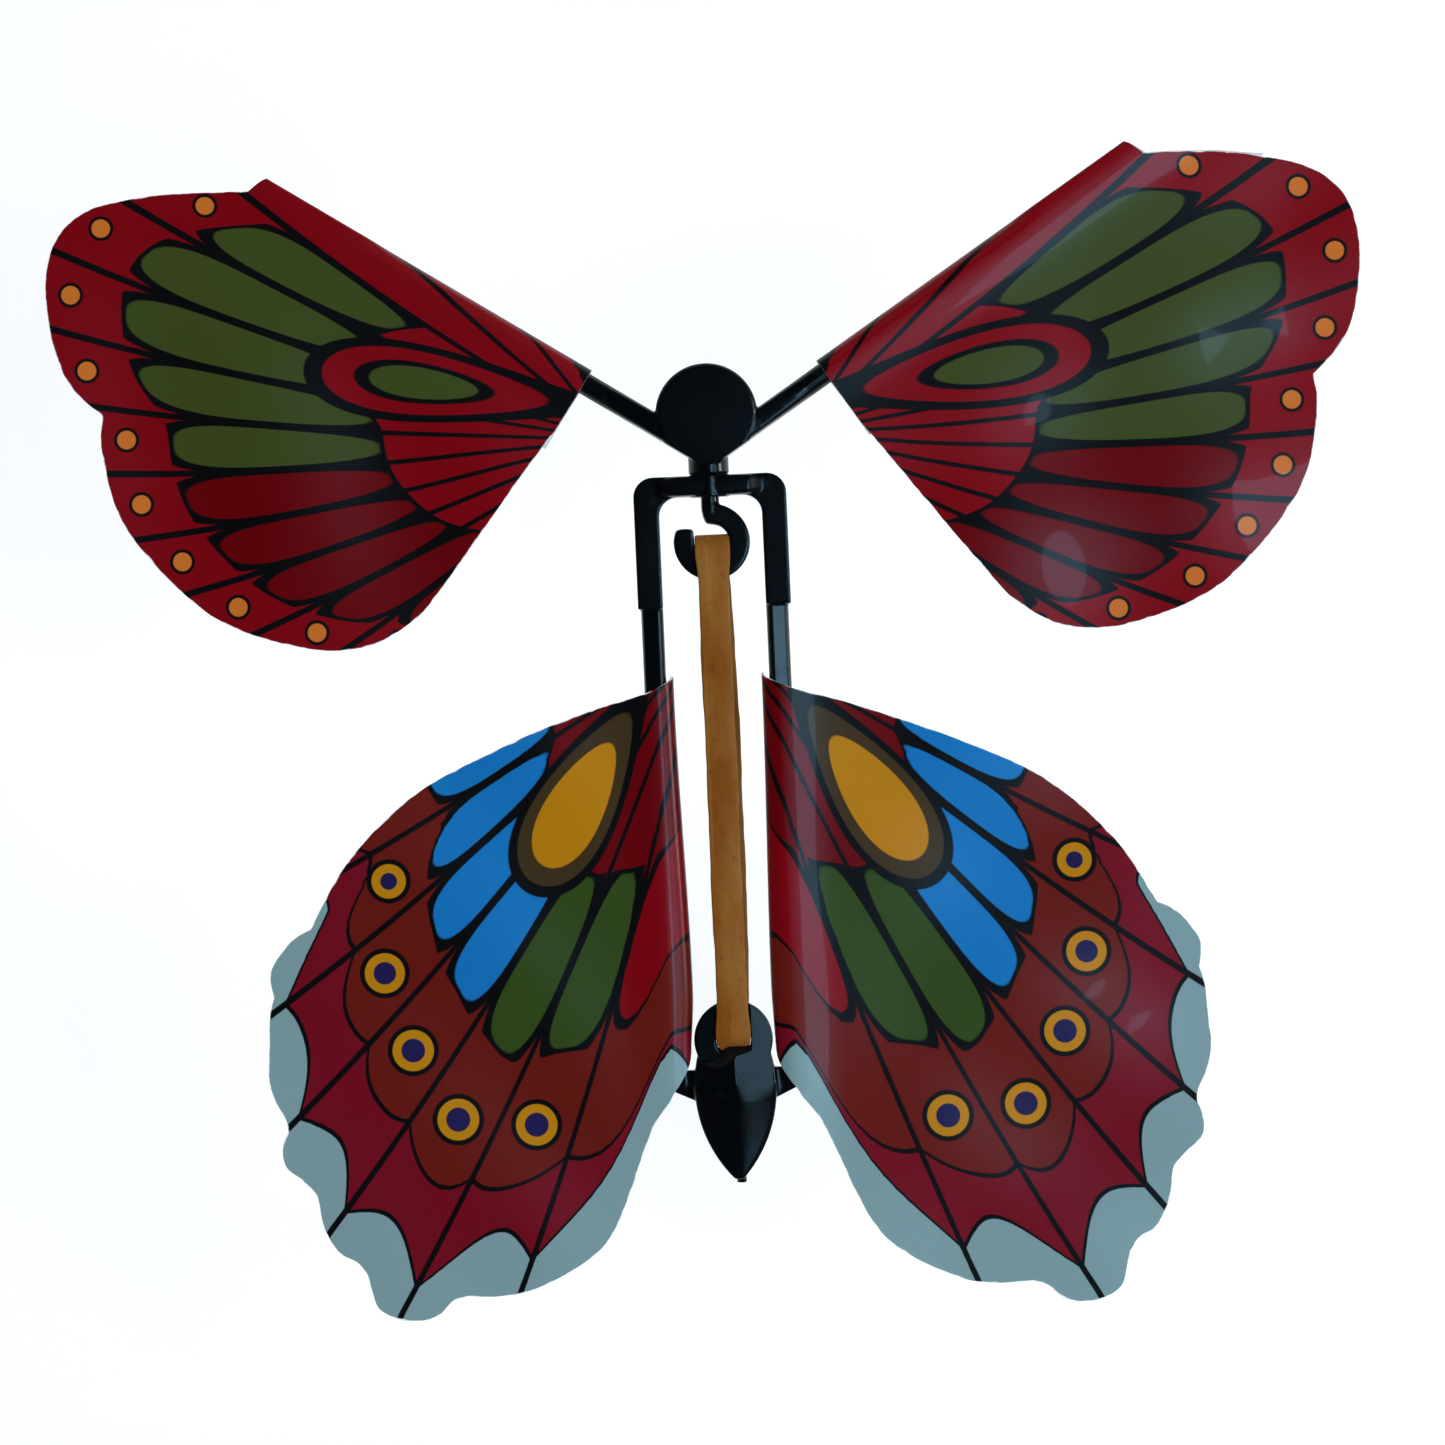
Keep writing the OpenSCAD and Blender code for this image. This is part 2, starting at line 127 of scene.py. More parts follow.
class Wire:
    """An output in a node tree. The root wire of a tree has none yet."""

    def __init__(self, tree, socket=None):
        self.tree = tree
        self.socket = socket

    def node(self, kind, settings, inputs, output=0):
        made = self.tree.nodes.new("ShaderNode" + kind)
        for name, value in settings.items():
            setattr(made, name, value)
        for name, value in inputs.items():
            if isinstance(value, Wire):
                self.tree.links.new(value.socket, made.inputs[name])
            else:
                made.inputs[name].default_value = value
        return Wire(self.tree, made.outputs[output] if made.outputs else None)

    def math(self, operation, *others, clamp=False, last=False):
        """A Math node with this wire as its first value, or as its last."""
        values = (*others, self) if last else (self, *others)
        return self.node("Math", {"operation": operation, "use_clamp": clamp}, dict(enumerate(values)))

    __add__ = __radd__ = operator("ADD")
    __mul__ = __rmul__ = operator("MULTIPLY")
    __sub__ = operator("SUBTRACT")
    __rsub__ = operator("SUBTRACT", last=True)
    __truediv__ = operator("DIVIDE")
    __rtruediv__ = operator("DIVIDE", last=True)
    __pow__ = operator("POWER")
    __rpow__ = operator("POWER", last=True)
    __abs__ = operator("ABSOLUTE")

    def mix(self, under, over, share=None):
        """The colour under where this mask, or an even share, is 0, and the colour over where it is 1."""
        mask = self if share is None else share
        return self.node("Mix", {"data_type": "RGBA"}, {0: mask, 6: under, 7: over}, output=2)


print("a wire can:", ", ".join(name for name in vars(Wire) if not name.startswith("_")))

# %% [markdown]
# A printer mixes inks by eye, so colours are given as they look, from 0 to 255 a channel. Blender's shaders
# want the amount of light instead, which is what `ink` returns. A finish is one Principled shader, whose
# even values go straight onto its sockets and whose varying values arrive by wire.

# %% Inks and finishes
def ink(red, green, blue):
    """A colour as it looks, turned into light by the usual curve of screens."""
    shares = [channel / 255 for channel in (red, green, blue)]
    light = [s / 12.92 if s <= 0.04045 else ((s + 0.055) / 1.055) ** 2.4 for s in shares]
    return (*light, 1.0)


def blank(kind, name):
    """A material or a world with no nodes yet, and the root wire that adds them."""
    made = kind.new(name)
    made.use_nodes = True
    made.node_tree.nodes.clear()
    return made, Wire(made.node_tree)


def finish_material(name):
    """A new finish: the root wire that builds it, and the function that closes it with its shader."""
    material, root = blank(bpy.data.materials, name)

    def close(inputs):
        shader = root.node("BsdfPrincipled", {}, inputs)
        root.node("OutputMaterial", {}, {"Surface": shader})
        print(name, "has", len(material.node_tree.nodes), "nodes")
        return material

    return root, close


print("middle grey is", round(ink(128, 128, 128)[0], 2), "of full light")

# %% Grain, patches and bumps
def grain(root, size_mm, detail=3.0, stretch=(1, 1, 1)):
    """Noise from 0 to 1 whose lumps are about size_mm across, in the part's own frame."""
    place = root.node("TexCoord", {}, {}, output="Object")
    scaled = root.node("VectorMath", {"operation": "MULTIPLY"}, {0: place, 1: stretch})
    return root.node("TexNoise", {}, {"Vector": scaled, "Scale": 1 / (size_mm * MM), "Detail": detail})


def patches(noise, level, contrast):
    """A mask that is 0 where a noise is below a level and climbs to 1 above it."""
    return ((noise - level) * contrast).math("MAXIMUM", 0, clamp=True)


def bumps(root, height_wire, depth_mm):
    """A surface normal from a height between 0 and 1 that stands for depth_mm."""
    return root.node("Bump", {}, {"Height": height_wire, "Distance": depth_mm * MM})


# %% [markdown]
# ## Black mouldings
#
# The head with its arms, the winding hook and the frame are cast in one go each from glossy black plastic.
# A casting has no knife-sharp edges: corners are rounded and inner corners filled, because melted plastic
# needs to flow. Rounding each edge by hand would take long. A voxel remesh of the packed solid, smoothed a
# little, rounds every edge and fills every inner corner alike, as a mould does. The flats don't need that
# many faces, so a last step thins them out.

# %% The plastic
root, close = finish_material("black_plastic")
mottle = grain(root, size_mm=6)
skin = grain(root, size_mm=0.5, detail=4)
wear = grain(root, size_mm=1.6, detail=6)
scuffed = patches(wear, level=0.6, contrast=6)
BLACK = close({
    "Base Color": scuffed.mix(ink(3, 5, 7), ink(12, 14, 18)),
    "Roughness": 0.17 + mottle * 0.1 + scuffed * 0.08,
    "Normal": bumps(root, skin, depth_mm=0.006),
    "Specular IOR Level": 0.26,
})


# %% Baking and local smoothing
def baked(made):
    """Turns an object's modifiers into its mesh."""
    bpy.context.view_layer.update()
    final = bpy.data.meshes.new_from_object(made.evaluated_get(bpy.context.evaluated_depsgraph_get()))
    made.modifiers.clear()
    made.data = final
    return made


def smooth_where(made, share_at, passes, axes):
    """Smooths a casting along some axes only, at each place as strongly as share_at says, from 0 to 1."""
    chosen = made.vertex_groups.new(name="chosen")
    for v in made.data.vertices:
        share = share_at(v.co / MM)
        if share > 0:
            chosen.add([v.index], min(share, 1.0), "REPLACE")
    smooth = made.modifiers.new("smooth", "SMOOTH")
    smooth.vertex_group = chosen.name
    smooth.use_x, smooth.use_y, smooth.use_z = (axis in axes for axis in "XYZ")
    smooth.iterations = passes
    baked(made)


# %% [markdown]
# The tail is a plump bud. Its front is smoothed much more than the rest, in height alone so that its outline
# stays. Then its two sides swell and its tip droops, so that light slides off it.

# %% The tail's bud
BUD_TOP = 10.5
BUD_FADE = 3.0
BUD_PASSES = 90
BUD_SWELL = 0.9
BUD_DROOP = 1.0
SLICE_STEP = 0.25
SLICE_HALF = 0.2


def soften_bud(made):
    """Softens the front of the tail, from its tip up to BUD_TOP."""
    tip = min(v.co.y for v in made.data.vertices) / MM
    smooth_where(made, lambda place: (BUD_TOP + tip - place.y) / BUD_FADE, BUD_PASSES, "Z")


def swell_bud(made):
    places = np.empty(len(made.data.vertices) * 3)
    made.data.vertices.foreach_get("co", places)
    places = places.reshape(-1, 3) / MM
    up_from_tip = places[:, 1] - places[:, 1].min()
    steps = np.arange(0, BUD_TOP, SLICE_STEP)
    half_widths = [np.abs(places[np.abs(up_from_tip - step) < SLICE_HALF, 0]).max() for step in steps]
    share = np.clip(np.abs(places[:, 0]) / np.interp(up_from_tip, steps, half_widths), 0, 1)
    from_top = np.clip(1 - up_from_tip / BUD_TOP, 0, 1)
    front = np.clip(places[:, 2] / places[:, 2].max() * 2 - 1, 0, 1)
    fade = np.clip(from_top * BUD_TOP / BUD_FADE, 0, 1)
    places[:, 2] += front * fade * (BUD_SWELL * share * (1 - share) - BUD_DROOP * from_top ** 2)
    made.data.vertices.foreach_set("co", (places * MM).ravel())


# %% [markdown]
# Where a bar meets a boss, a casting widens before it gets there. The head runs into its arms this way, and
# the bearing boss into the top bar. Each flare is a tapering bar with a rounded section, laid into the solid
# before the remesh, which then makes one skin of both. A station of a flare says how far along it lies, half
# its height, and how square its section is: 2 is an oval, and a large number is a box.

# %% Flares
ARM_FLARE = [(2.5, 1.94, 6), (5.6, 1.94, 6), (6.6, 1.72, 5), (8.0, 1.4, 4), (9.6, 1.14, 3), (11.0, 1.0, 2.2)]
ARM_HALF_WIDE = 1.0
BAR_FLARE = [(-0.1, 1.74, 6), (1.7, 1.74, 6), (3.6, 1.7, 5), (4.3, 1.32, 4), (4.9, 1.04, 4)]
BAR_HALF_WIDE = 0.93
BOSS_LONG = 2.1
FLARE_SIDES = 32


def join_rings(made, rings):
    """Faces between each ring of points and the next."""
    faces = []
    for first, second in zip(rings, rings[1:]):
        for i in range(len(first)):
            j = (i + 1) % len(first)
            faces.append(made.faces.new((first[i], first[j], second[j], second[i])))
    return faces


def flare_section(half_wide, half_high, square):
    """The points of a flare's section, across and up."""
    for step in range(FLARE_SIDES):
        angle = 2 * math.pi * step / FLARE_SIDES
        across = math.cos(angle)
        up = math.sin(angle)
        wide = math.copysign(abs(across) ** (2 / square), across) * half_wide
        high = math.copysign(abs(up) ** (2 / square), up) * half_high
        yield wide, high


def flare(mesh, middle, along, stations, half_wide):
    """Adds a flare to a casting, from its middle along a bar, and the same mirrored."""
    out = Vector((along.y, -along.x, 0))
    cast = bmesh.new()
    cast.from_mesh(mesh)
    for side in (1, -1):
        rings = []
        for place, half_high, square in stations:
            ring = []
            for wide, high in flare_section(half_wide, half_high, square):
                spot = middle + (along * place + out * wide + Vector((0, 0, high))) * MM
                ring.append(cast.verts.new((spot.x * side, spot.y, spot.z)))
            rings.append(ring)
        ends = [cast.faces.new(rings[0]), cast.faces.new(rings[-1])]
        bmesh.ops.recalc_face_normals(cast, faces=ends + join_rings(cast, rings))
    cast.to_mesh(mesh)
    cast.free()


ARM = joints["right_forewing_swivel"]
arms_meet = Vector(ARM["pos_m"])
arm_out = -Vector(ARM["axis"])
bar_middle = Vector((0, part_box("frame")[1].y - BOSS_LONG / 2 * MM, arms_meet.z))
FLARES = {
    "head": (arms_meet, arm_out, ARM_FLARE, ARM_HALF_WIDE),
    "frame": (bar_middle, Vector((1, 0, 0)), BAR_FLARE, BAR_HALF_WIDE),
}
print("flares have", len(ARM_FLARE), "and", len(BAR_FLARE), "stations")

# %% [markdown]
# Two small touches follow the remesh. The neck sits a hair above its bearing, and the winding hook, which is
# bent in one sweep, has a soft corner where it leaves its shaft and a rounded tip. A corner says where it is,
# how far round it the smoothing reaches, and how strong it is.

# %% Neck and hook
NECK_DROP = 0.08
NECK_FADE = 0.5
HOOK_CORNERS = [((-0.5, 19.45), 1.9, 1.0), ((-3.3, 19.0), 0.9, 0.4), ((-1.6, 18.95), 0.9, 0.4)]
HOOK_PASSES = 260


def close_neck(made):
    low = min(v.co.y for v in made.data.vertices)
    for v in made.data.vertices:
        v.co.y -= NECK_DROP * MM * max(1 - (v.co.y - low) / (NECK_FADE * MM), 0)


def ease_hook(made):
    def near_corner(place):
        strength = 0.0
        for spot, wide, most in HOOK_CORNERS:
            near = 1 - math.dist(place.xy, spot) / wide
            if near > 0:
                strength = min(2 * near, 1.0) * most
        return strength

    smooth_where(made, near_corner, HOOK_PASSES, "XY")


# %% Make the mouldings
VOXEL = 0.085


def stand_for(made, node, body):
    """Puts a finished piece in the place of a packed solid."""
    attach(made, body)
    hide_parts(node)
    print(made.name, len(made.data.polygons), "faces")


def moulding(node, body, passes, keep, touches):
    """A casting in place of a packed solid: smoothed so often, with a share of its faces kept."""
    made = in_scene(node + "_moulding", frame["nodes"][node].data.copy())
    if node in FLARES:
        flare(made.data, *FLARES[node])
    remesh = made.modifiers.new("cast", "REMESH")
    remesh.mode = "VOXEL"
    remesh.voxel_size = VOXEL * MM
    smooth = made.modifiers.new("soften", "SMOOTH")
    smooth.iterations = passes
    baked(made)
    for touch in touches:
        touch(made)
    thin = made.modifiers.new("thin", "DECIMATE")
    thin.ratio = keep
    baked(made)
    made.vertex_groups.clear()
    made.data.materials.clear()
    made.data.materials.append(BLACK)
    made.data.shade_smooth()
    stand_for(made, node, body)


moulding("frame", "frame", passes=9, keep=0.36, touches=(soften_bud, swell_bud))
moulding("head", "rotor", passes=6, keep=0.4, touches=(close_neck,))
moulding("winding_hook", "rotor", passes=24, keep=0.8, touches=(ease_hook,))

# %% [markdown]
# ## Where the film lies
#
# Each wing is a sheet of printed film with one edge folded round a rod. The packed solid gives its outline:
# the border of its flat top face. The joint gives the rod: a wing swivels about the rod inside its sleeve.
# Points are measured along the rod and out from it, so one set of rules serves both kinds of wing.

# %% Outlines from the packed solids
STRAIGHT_UP = 0.9999


def flat_points(node, rod):
    """The height, area and points, along and out from the rod, of each face that looks straight up."""
    origin, along, out = rod
    mesh = frame["nodes"][node].data
    for face in mesh.polygons:
        if face.normal.z > STRAIGHT_UP:
            places = [mesh.vertices[i].co / MM - origin for i in face.vertices]
            ring = [(round(p.dot(along), 3), round(p.dot(out), 3)) for p in places]
            yield round(places[0].z, 2), face.area, ring


def sheet_border(node, rod):
    """The border of a wing's flat top face, as an ordered ring of points."""
    faces = list(flat_points(node, rod))
    heights = {}
    for z, area, ring in faces:
        heights[z] = heights.get(z, 0) + area
    top = max(heights, key=heights.get)
    edges = {pair for z, area, ring in faces if z == top for pair in zip(ring, ring[1:] + ring[:1])}
    ahead = {start: end for start, end in edges if (end, start) not in edges}
    border = [min(ahead)]
    while len(border) < len(ahead):
        border.append(ahead[border[-1]])
    return border


# a rod is a point, a direction, and the side that the film is on
LEG = joints["right_hindwing_swivel"]
ARM_ROD = (arms_meet / MM, arm_out, Vector((arm_out.y, -arm_out.x, 0)))
LEG_ROD = (Vector(LEG["pos_m"]) / MM, Vector(LEG["axis"]), Vector((1, 0, 0)))
fore_ring = sheet_border("right_forewing", ARM_ROD)
hind_ring = sheet_border("right_hindwing", LEG_ROD)
print("outline points:", len(fore_ring), "on a forewing,", len(hind_ring), "on a hind wing")

# %% [markdown]
# A maker cuts the film flat and folds it afterwards. So does this script: the flat piece is the outline
# above plus a strip that will wrap round the rod and come back behind as a flap. Out from the rod is
# positive, and the strip that wraps is negative: first the loop, then the way back, then the glued land.

# %% The flat cut
LOOP = 4.0
BACK = 4.5
LAND = 2.85
FLAP = 7.0
STRIP = LOOP + BACK + LAND
FREE_FROM = 0.3
FOLDED_BEFORE = -0.5
HIND_CORNER_RISE = 1.3
HIND_FOOT_RISE = 1.1
FLAP_STEPS = (0.6, 2.0, 4.0, FLAP)


def wrapped(out):
    """How far round the fold a place on the back of the film lies that is this far out."""
    return LOOP + min(out / (FLAP - LAND), 1) * BACK + max(out - (FLAP - LAND), 0)


def flat_cut(ring, sleeve_start=None, flap_past=0.0):
    """The flat outline of a wing with its wrap: the free edge first, then the strip."""
    gap = next(i for i in range(len(ring)) if ring[i - 1][1] <= FREE_FROM < ring[i][1])
    free = [p for p in ring[gap:] + ring[:gap] if p[1] > FREE_FROM]
    folded = [p for p in ring if p[1] < FOLDED_BEFORE]
    corner = max(folded)[0] if folded else free[-1][0] - HIND_CORNER_RISE
    near_flap = [p for p in reversed(free[len(free) // 2:]) if p[1] < 3 * FLAP]
    front_end = np.interp(FLAP_STEPS, [p[1] for p in near_flap], [p[0] for p in near_flap])
    flap_end = [(float(end) + flap_past, -wrapped(out)) for end, out in zip(front_end, FLAP_STEPS)]
    start = free[0][0] if sleeve_start is None else sleeve_start
    fold_start = start if sleeve_start is None else start - HIND_FOOT_RISE
    strip = [(corner, -LOOP / 2), *flap_end, (start, -STRIP), (fold_start, -LOOP / 2)]
    return free, free + strip


def reach(node, rod):
    """The lowest and highest place of a node along a rod."""
    origin, along, out = rod
    places = [(v.co / MM - origin).dot(along) for v in frame["nodes"][node].data.vertices]
    return min(places), max(places)


# %% Cut the four wings
TAPE_INSET = 1.0
FLAP_PAST = {1: 0.1, -1: -0.15}
leg_sleeve_end = reach("right_hindwing_tape", LEG_ROD)[1] + TAPE_INSET
fore_cuts = {side: flat_cut(fore_ring, flap_past=past) for side, past in FLAP_PAST.items()}
hind_free, hind_cut = flat_cut(hind_ring, sleeve_start=leg_sleeve_end)
fore_free = fore_cuts[1][0]
arm_end = reach("head", ARM_ROD)[1]
print("points on a free edge:", len(fore_free), len(hind_free), "- an arm ends at", round(arm_end, 2))

# %% [markdown]
# ## The print's own coordinates
#
# Butterfly wings are drawn along their veins, which fan out from near the root. The print uses the same
# plan: `u` counts veins round a focus and `v` runs from 0 at the focus to 1 at the wing's edge, so cells,
# bands and spots follow the outline by themselves. The numbers are worked out on the flat film, before it
# is folded, and kept as UV maps, one value a face corner.

# %% Distances on the flat film
TINY = 1e-9
HAIR = 1e-6


def border_distance(points, border):
    """Distance of each point from a border of straight pieces."""
    start = border[:-1]
    piece = border[1:] - start
    rel = points[:, None] - start[None]
    share = np.clip((rel * piece).sum(2) / np.maximum((piece ** 2).sum(1), TINY), 0, 1)
    return np.linalg.norm(rel - share[..., None] * piece, axis=2).min(1)


def crossed(a, b):
    return a[..., 0] * b[..., 1] - a[..., 1] * b[..., 0]


def ray_lengths(focus, angles, border):
    """How far a ray from the focus at each angle runs to where it last leaves the border."""
    ray = np.stack([np.cos(angles), np.sin(angles)], 1)[:, None]
    start = (border - focus)[None]
    piece = np.roll(start, -1, axis=1) - start
    cross = crossed(ray, piece)
    cross = np.where(np.abs(cross) < TINY, TINY, cross)
    length = crossed(start, piece) / cross
    share = crossed(start, ray) / cross
    return np.where((share >= -HAIR) & (share <= 1 + HAIR), length, 0).max(1)


def smoothed(values, half, **pad):
    """A row of numbers, each averaged with its neighbours."""
    window = np.hanning(2 * half + 1)
    return np.convolve(np.pad(values, half, **pad), window / window.sum(), "valid")


# %% Fans of veins
BLEED = 9.0
SWEEP_STEP = 0.1
SWEEP_EVENED = 45
VEIN_STEPS = 600
VEIN_EVENED = 21


class Fan:
    """A wing's veins: where they fan out from, their angles from the rod in degrees, and their bend."""

    def __init__(self, focus, veins, bend, margin, free):
        self.focus = np.array(focus)
        self.bend = math.radians(bend)
        self.cut = np.array(free)
        border = np.array([*free, (free[-1][0], -BLEED), (free[0][0], -BLEED)])
        self.sweep = np.radians(np.arange(margin[0], margin[1], SWEEP_STEP))
        lengths = ray_lengths(self.focus, self.sweep, border)
        self.reach = smoothed(lengths, SWEEP_EVENED, mode="edge")
        self.counts = np.linspace(-1, len(veins), VEIN_STEPS)
        ends = [2 * veins[0] - veins[1], *veins, 2 * veins[-1] - veins[-2]]
        straight = np.radians(np.interp(self.counts, range(-1, len(veins) + 1), ends))
        self.angles = smoothed(straight, VEIN_EVENED, mode="reflect", reflect_type="odd")

    def length(self, turn):
        """How long the ray at an angle is, with the edge's small waves evened out."""
        return np.interp(turn, self.sweep, self.reach)

    def slope(self, u):
        """How much a vein's angle grows from one vein to the next."""
        return np.interp(u, self.counts, np.gradient(self.angles, self.counts))

    def coordinates(self, points):
        """For each point: u, v, its cell's width, its ray's length and its distance from the cut."""
        rel = points - self.focus
        radius = np.linalg.norm(rel, axis=1)
        turn = np.arctan2(rel[:, 1], rel[:, 0])
        length = self.length(turn)
        bent = turn - self.bend * (1 - np.clip(radius / length, 0, 1))
        u = np.interp(bent, self.angles, self.counts)
        return u, radius / length, radius * self.slope(u), length, border_distance(points, self.cut)

    def spot(self, u, v, from_margin=0.0):
        """Where a pair of coordinates lies on the flat film, and how wide its cell is there."""
        turn = np.interp(u, self.counts, self.angles) + self.bend * (1 - v)
        radius = v * self.length(turn) - from_margin
        along, out = self.focus + radius * np.array([math.cos(turn), math.sin(turn)])
        return float(along), float(out), float(radius * self.slope(u))


fore_root = fore_free[0][0]
hind_root = hind_free[-1][0]
FORE_VEINS = [-24, -12, -3, 5, 12.5, 20, 27.5, 35, 43, 51, 59.5, 69, 80, 95]
HIND_VEINS = [-18, -7, 3, 18, 26, 34, 42, 50.5, 59, 69]
FORE_FAN = Fan((fore_root - 5, 3), FORE_VEINS, bend=5, margin=(-6, 72), free=fore_free)
HIND_FAN = Fan((hind_root - 5, -4), HIND_VEINS, bend=-5, margin=(6, 56), free=hind_free)
for name, fan in (("forewing", FORE_FAN), ("hind wing", HIND_FAN)):
    print(name, "rays are", round(fan.reach.min(), 1), "to", round(fan.reach.max(), 1), "mm long")

# %% [markdown]
# ## Printed film
#
# The wings are printed in flat inks with bold black lines, like stained glass, and laminated with a glossy
# skin. A painted picture would need an image; a formula needs none, stays sharp at any size and follows the
# wing's shape. Every mask below is a distance in millimetres, turned into 1 inside and 0 outside.

# %% Drawing with distances
SOFT_EDGE = 0.07
NARROWEST = 0.1


def inside(distance):
    """1 where a distance is negative, 0 where it is positive, with a soft edge."""
    return (0.5 - distance * (1 / SOFT_EDGE)).math("MAXIMUM", 0, clamp=True)


def line(distance, width):
    """1 within a line where a distance is 0."""
    return inside(abs(distance) - width / 2)


def oval(x, y, half_x, half_y):
    """Distance from an oval's border, close to true near the border."""
    return (((x / half_x) ** 2 + (y / half_y) ** 2).math("SQRT") - 1) * half_y


# %% Cells between the veins
PANE_SQUARE = 3.0


class Cells:
    """The print's coordinates as wires, all in millimetres but u, v and side."""

    def __init__(self, root):
        def pair(name):
            both = root.node("UVMap", {"uv_map": name}, {})
            return [root.node("SeparateXYZ", {}, {0: both}, output=i) for i in (0, 1)]

        self.u, self.v = pair("vein")
        self.width, self.ray = pair("size")
        self.along, self.out = pair("flat")
        self.cut = pair("edge")[0]
        side = self.u - self.u.math("FLOOR") - 0.5
        self.side = abs(side) * 2
        self.across = side * self.width
        self.to_vein = (0.5 - abs(side)) * self.width
        self.to_margin = (1 - self.v) * self.ray

    def pane(self, v_from, v_to, clear):
        """Distance from a rounded pane in each cell, between two places along it, clear of the veins."""
        middle = (v_from + v_to) / 2
        half = (v_to - v_from) / 2
        half_width = (self.width * 0.5 - clear).math("MAXIMUM", NARROWEST)
        off_middle = abs(self.v - middle) * (1 / half)
        off_axis = abs(self.across) / half_width
        plump = (off_axis ** PANE_SQUARE + off_middle ** PANE_SQUARE) ** (1 / PANE_SQUARE)
        past_end = (off_middle - 1) * self.ray * half
        return ((plump - 1) * half_width).math("MAXIMUM", past_end)

    def between(self, first, last):
        """1 in the cells from one number to another."""
        return inside((first - self.u) * self.width) * inside((self.u - last - 1) * self.width)


# %% Spots and leaves
LEAF_MIDDLE = 0.85
LEAF_TAPER = 0.35


def spots(cells, fan, numbers, v, share, largest, from_margin=0.0):
    """Distance from the nearest of a row of round spots, one in each cell."""
    nearest = None
    for number in numbers:
        along, out, width = fan.spot(number + 0.5, v, from_margin)
        radius = min(largest, share * width)
        away = ((cells.along - along) ** 2 + (cells.out - out) ** 2).math("SQRT") - radius
        nearest = away if nearest is None else nearest.math("MINIMUM", away)
    return nearest


def leaf(cells, start, end, half_width):
    """Distance from a tapered leaf between two places on the film, narrow at its start."""
    middle = (Vector(start) + Vector(end)) / 2
    half = (Vector(end) - Vector(start)).length / 2
    way = (Vector(end) - Vector(start)).normalized()
    along = cells.along - middle.x
    out = cells.out - middle.y
    x = along * way.x + out * way.y
    y = out * way.x - along * way.y
    taper = (LEAF_MIDDLE + x * (LEAF_TAPER / half)).math("MAXIMUM", NARROWEST) * half_width
    return oval(x, y, half, taper)


# %% [markdown]
# Every line is black. On a forewing the cells between the veins hold olive drops towards the tip; a
# leaf-shaped cell lies at the root, and a row of orange spots follows the margin.

# %% Inks
BLACK_INK = ink(8, 7, 8)
CRIMSON = ink(111, 3, 12)
DARK_RED = ink(90, 2, 6)
OLIVE = ink(54, 64, 25)
ORANGE = ink(180, 98, 34)
AMBER = ink(166, 110, 8)
BLUE = ink(18, 102, 164)
BRICK = ink(92, 20, 13)
MAROON = ink(102, 9, 25)
BROWN = ink(56, 42, 22)
GREEN = ink(44, 64, 21)
INDIGO = ink(28, 22, 66)
PALE_TEAL = ink(113, 138, 141)
WHITE_FILM = ink(222, 224, 222)

# %% Forewing print
LINE = 0.45
CLEAR = 0.36
VEIN = 0.3
FORE_VEIN_GROWS = 0.35
FORE_LEAF_RIM = 1.5
FORE_LEAF = ((fore_root + 2, 3.2), (fore_root + 21, 11.6), 3.4)


def outlined(colour, distance, fill, width=LINE):
    """A filled shape with a black line round it, over a colour."""
    return inside(distance).mix(inside(distance - width).mix(colour, BLACK_INK), fill)


def forewing_print(cells):
    colour = line(cells.to_vein, VEIN + cells.v * FORE_VEIN_GROWS).mix(CRIMSON, BLACK_INK)
    pane = cells.pane(v_from=0.46, v_to=0.86, clear=CLEAR)
    colour = cells.between(2, 6).mix(colour, outlined(colour, pane, OLIVE))
    colour = cells.between(7, 12).mix(colour, outlined(colour, pane, DARK_RED))
    root_leaf = leaf(cells, *FORE_LEAF)
    colour = outlined(colour, root_leaf, CRIMSON, width=0.7)
    colour = outlined(colour, root_leaf + FORE_LEAF_RIM, OLIVE)
    dots = spots(cells, FORE_FAN, range(2, 12), v=1.0, share=0.2, largest=0.85, from_margin=2.3)
    return outlined(colour, dots, ORANGE, width=0.3)


# %% [markdown]
# A hind wing has the richer print: a golden leaf at the root, blue, green and crimson panes round it, a
# brick-red band of eyespots with golden rims, and pale crescents along the edge that grow towards the tail.

# %% Hind wing print
BRICK_FROM = 0.5
MAROON_FROM = 0.83
BAND_ARCH = 0.03
CRESCENT_DEEP = 9
CRESCENT_SHRINKS = 0.7
CRESCENT_LEAST = 1.8
CRESCENT_ROUND = 0.6
HIND_VEIN_GROWS = 0.25
EYE_RIM = 0.8
HIND_LEAF_RIM = 0.9
HIND_LEAF = ((hind_root + 2.0, 2.6), (hind_root + 17.5, 12.2), 4.0)


